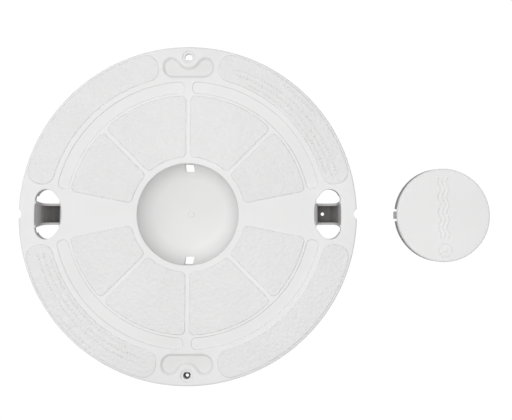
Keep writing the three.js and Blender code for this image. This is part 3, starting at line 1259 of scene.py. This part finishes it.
@dataclass
class CentreCap:
    """The snap-in cap: disc, skirt, crossed ribs and a plain wave emblem."""

    x: float
    y: float
    radius: float = 36.2
    height: float = 10.6
    disc: float = 2.4
    edge: float = 1.5
    skirt_top: float = 36.1
    skirt_foot: float = 36.4
    skirt_wall: float = 2.0
    tab_width: float = 5.8
    notch: float = 1.8
    rib_length: float = 58.0
    rib_wall: float = 1.6
    rib_depth: float = 2.3

    def build(self) -> None:
        """Model the cap and its emblem and lay them down."""
        piece = self.shell()
        for sign in (1, -1):
            cut(piece, self.window_tool(sign))
        soften_edges(piece, 0.25, angle=50, segments=2)
        self.settle(piece, CAP_SKIRT_PLASTIC)
        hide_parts("cap")
        for angle in (30, 90, 150):
            self.settle(self.rib(angle), CAP_SATIN)
        for emblem in self.emblem():
            self.settle(emblem, CAP_SATIN)

    @property
    def under(self) -> float:
        """Height of the disc's underside."""
        return self.height - self.disc

    def settle(self, piece: bpy.types.Object, finish: Finish) -> None:
        """Move a piece from the bench to the cap's place and lay it down."""
        piece.data.transform(Matrix.Translation((self.x, self.y, 0)))
        lay_down(piece, CAP_BODY, finish)

    def shell(self) -> bpy.types.Object:
        """Turn the disc and skirt from one section.

        Returns:
            The cap before its windows are cut.
        """
        inside, foot_inside = self.skirt_top - self.skirt_wall, self.skirt_foot - self.skirt_wall
        section = [
            (0, self.under),
            (inside - 1.0, self.under),
            (inside - 0.3, self.under - 0.3),
            (inside, self.under - 1.0),
            (foot_inside + 0.3, 0.3),
            (foot_inside + 0.6, 0),
            (self.skirt_foot - 0.4, 0),
            (self.skirt_foot, 0.4),
            (self.skirt_top, self.under - 0.2),
            (self.radius - 0.1, self.under),
            (self.radius, self.under + 0.1),
            *arc((self.radius - self.edge, self.height - self.edge), self.edge, 0, 90, 7),
            (self.radius - self.edge - 0.6, self.height),
            (0, self.height),
        ]
        return turned("cap_shell", section, 180)

    def window_tool(self, sign: int) -> bpy.types.Object:
        """A block that clears the skirt round a snap tab.

        Args:
            sign: 1 at +X, -1 at -X.

        Returns:
            The cutting solid.
        """
        return block("window_tool", (sign * self.radius, 0, self.under / 2 - 1),
                     (12, self.tab_width + 2 * self.notch, self.under + 2 - 0.02))

    def rib(self, degrees: float) -> bpy.types.Object:
        """One of the three crossed ribs under the disc.

        Args:
            degrees: Its angle.

        Returns:
            The rib.
        """
        size = (self.rib_length, self.rib_wall, 0.6)
        piece = block(f"cap_rib_{degrees}", (0, 0, self.under + 0.1), size)
        hanging_rib(piece, self.rib_depth, (0.97, 0.8), 0.3, 2)
        piece.data.transform(turn_z(degrees))
        return piece

    def emblem(self) -> list[bpy.types.Object]:
        """A plain emblem: three raised water lines down the middle, over a ring.

        Returns:
            Its pieces.
        """
        spacing, ring_x, ring_y = 3.3, 0.8, -27.0
        lines = [self.water_line(index + 1, spacing * (index - 1)) for index in range(3)]
        z = self.height
        ring = turned("emblem_ring", [(4.3, z - 0.2), (5.7, z - 0.2), (5.7, z), (5.4, z + 0.32),
                                      (5.2, z + 0.4), (4.8, z + 0.4), (4.6, z + 0.32), (4.3, z)],
                      72, closed=True)
        dome = turned("emblem_dome", [(0, z - 0.2), (2.2, z - 0.2), (2.2, z), (1.9, z + 0.2),
                                      (1.3, z + 0.36), (0.6, z + 0.42), (0, z + 0.43)], 48)
        for piece in (ring, dome):
            piece.data.transform(Matrix.Translation((ring_x, ring_y, 0)))
        return [*lines, ring, dome]

    def water_line(self, number: int, x: float) -> bpy.types.Object:
        """One raised wavy line along Y, modelled from a strip.

        Args:
            number: Its number in its name.
            x: Its place across the emblem.

        Returns:
            The line.
        """
        half, flats, swing = 0.6, 72, 1.0
        start, end, wave = -18.0, 29.5, 11.75
        left, right = [], []
        for index in range(flats + 1):
            y = start + (end - start) * index / flats
            bend = x + swing * math.sin(2 * math.pi * (y - start) / wave)
            left.append((bend - half, y))
            right.append((bend + half, y))
        return pad(f"emblem_line_{number}", [*right, *reversed(left)], self.height, 0.2, 0.5, 0.34)


@dataclass
class SnapTab:
    """A flexing tongue of the cap, with a ramped hook at its foot."""

    side: Side
    cap_x: float
    cap_y: float
    face: float = 35.6
    thick: float = 1.8
    hook: float = 1.8
    hook_height: float = 3.2
    ramp: float = 1.4
    high: float = 7.9
    width: float = 5.8
    foot: float = 0.2  # how far it stays above the cap's own foot

    def build(self) -> None:
        """Model the tab and lay it down."""
        name, foot = self.side.name.lower(), self.foot
        profile = [
            (self.face - self.thick, foot),
            (self.face + foot, foot),
            (self.face + self.hook, foot + self.ramp),
            (self.face + self.hook, self.hook_height),
            (self.face, self.hook_height),
            (self.face, self.high),
            (self.face - self.thick, self.high),
        ]
        piece = prism(f"tab_{name}", profile, self.width)
        piece.data.transform(Matrix.Translation((0, self.width / 2, 0)) @ UPRIGHT)
        soften_edges(piece, 0.3, angle=35, segments=3)
        piece.data.transform(Matrix.Translation((self.cap_x, self.cap_y, 0)) @ turn_z(self.side.value))
        lay_down(piece, f"tab_{name}", TAB_PLASTIC)
        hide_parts(f"snap_tab_{name}")


# The studio


@dataclass
class Studio:
    """A pale floor, soft lights and the camera straight above."""

    camera_at: Point3 = (0.05074, 0.00044, 0.58691)
    camera_lean: float = 3.742  # degrees that the camera looks towards +Y from straight down
    lens: float = 52.21  # in millimetres
    frame_shift: float = -0.0878
    lamp_size: float = 0.5
    aim_at: Point3 = (0.04, 0.0, 0.02)

    def build(self) -> None:
        """Make the floor, world, lights and camera."""
        self.floor()
        self.world()
        for name, place, power in (
            ("key_overhead", (0.06, 0.0, 0.8), 1.75),
            ("overhead_left", (-0.3, 0.0, 0.7), 0.75),
            ("softbox_rear_left", (-0.45, 0.45, 1.0), 1.15),
            ("softbox_rear_right", (0.5, 0.4, 1.0), 0.75),
            ("softbox_front_left", (-0.45, -0.4, 1.0), 0.55),
            ("softbox_front_right", (0.5, -0.4, 1.0), 0.3),
            ("rim_light_rear_left", (-0.6, 0.6, 0.2), 0.5),
        ):
            self.lamp(name, place, power)
        self.camera()
        view = bpy.context.scene.view_settings
        view.view_transform = "Standard"
        view.look = "None"

    def floor(self) -> None:
        """A glowing white sheet for the eye, over a matt white one that bounces light back up."""
        glowing, bounce = self.sheet("glowing_sheet", -0.0004), self.sheet("bounce_sheet", -0.0008)
        glowing.visible_diffuse = glowing.visible_glossy = glowing.visible_shadow = False
        bounce.visible_camera = False
        graph = Graph("glowing_white")
        glow = graph.add("ShaderNodeEmission", Strength=1.02)
        graph.join(glow, "Emission", graph.output, "Surface")
        glowing.data.materials.append(graph.material)
        graph = Graph("matt_white")
        graph.shader.inputs["Base Color"].default_value = (0.75, 0.75, 0.75, 1)
        graph.shader.inputs["Roughness"].default_value = 0.9
        bounce.data.materials.append(graph.material)

    def sheet(self, name: str, z: float) -> bpy.types.Object:
        """A large flat sheet under the object.

        Args:
            name: Its name.
            z: Its height, in metres.

        Returns:
            The sheet.
        """
        bpy.ops.mesh.primitive_plane_add(size=30, location=(0, 0, z))
        made = bpy.context.object
        made.name = name
        return made

    def world(self) -> None:
        """An even pale surround, dimmer from below."""
        world = bpy.data.worlds.new("studio_surround")
        bpy.context.scene.world = world
        world.use_nodes = True
        tree = world.node_tree
        tree.nodes.clear()
        kinds = ("TexCoord", "SeparateXYZ", "ValToRGB", "Background", "OutputWorld")
        place, height, ramp, background, output = [tree.nodes.new(f"ShaderNode{kind}") for kind in kinds]
        tree.links.new(place.outputs["Generated"], height.inputs["Vector"])
        tree.links.new(height.outputs["Z"], ramp.inputs["Fac"])
        tree.links.new(ramp.outputs["Color"], background.inputs["Color"])
        tree.links.new(background.outputs["Background"], output.inputs["Surface"])
        low, high = ramp.color_ramp.elements
        low.position, low.color = 0.0, (0.12, 0.12, 0.12, 1)
        high.position, high.color = 0.5, (0.47, 0.47, 0.47, 1)

    def lamp(self, name: str, place: Point3, power: float) -> None:
        """A square soft light that faces the middle of the set.

        Args:
            name: Its name.
            place: Where it stands, in metres.
            power: In watts.
        """
        data = bpy.data.lights.new(name, "AREA")
        data.shape = "SQUARE"
        data.size = self.lamp_size
        data.energy = power
        light = bpy.data.objects.new(name, data)
        bpy.context.scene.collection.objects.link(light)
        light.location = place
        aim = Vector(self.aim_at) - Vector(place)
        light.rotation_euler = aim.to_track_quat("-Z", "Y").to_euler()

    def camera(self) -> None:
        """The camera above the lid, leaning a little towards its rear edge."""
        data = bpy.data.cameras.new("camera")
        data.lens = self.lens
        data.sensor_width = 36
        data.shift_y = self.frame_shift
        data.clip_start, data.clip_end = 0.01, 50
        camera = bpy.data.objects.new("camera", data)
        bpy.context.scene.collection.objects.link(camera)
        camera.location = self.camera_at
        camera.rotation_euler = (math.radians(self.camera_lean), 0, 0)
        bpy.context.scene.camera = camera


def main() -> None:
    """Build every sub-assembly round the loaded frame."""
    logging.basicConfig(level=logging.INFO, format="%(name)s: %(message)s")
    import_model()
    cap_low, cap_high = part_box("cap")
    cap_middle = (Vector(cap_low) + Vector(cap_high)) / (2 * MM)
    Studio().build()
    Lid().build()
    LiftPocket(Side.RIGHT, drained=True).build()
    LiftPocket(Side.LEFT, drained=False).build()
    ScrewRetainer().build()
    CentreCap(cap_middle.x, cap_middle.y).build()
    for side in Side:
        SnapTab(side, cap_middle.x, cap_middle.y).build()


if __name__ == "__main__":
    main()
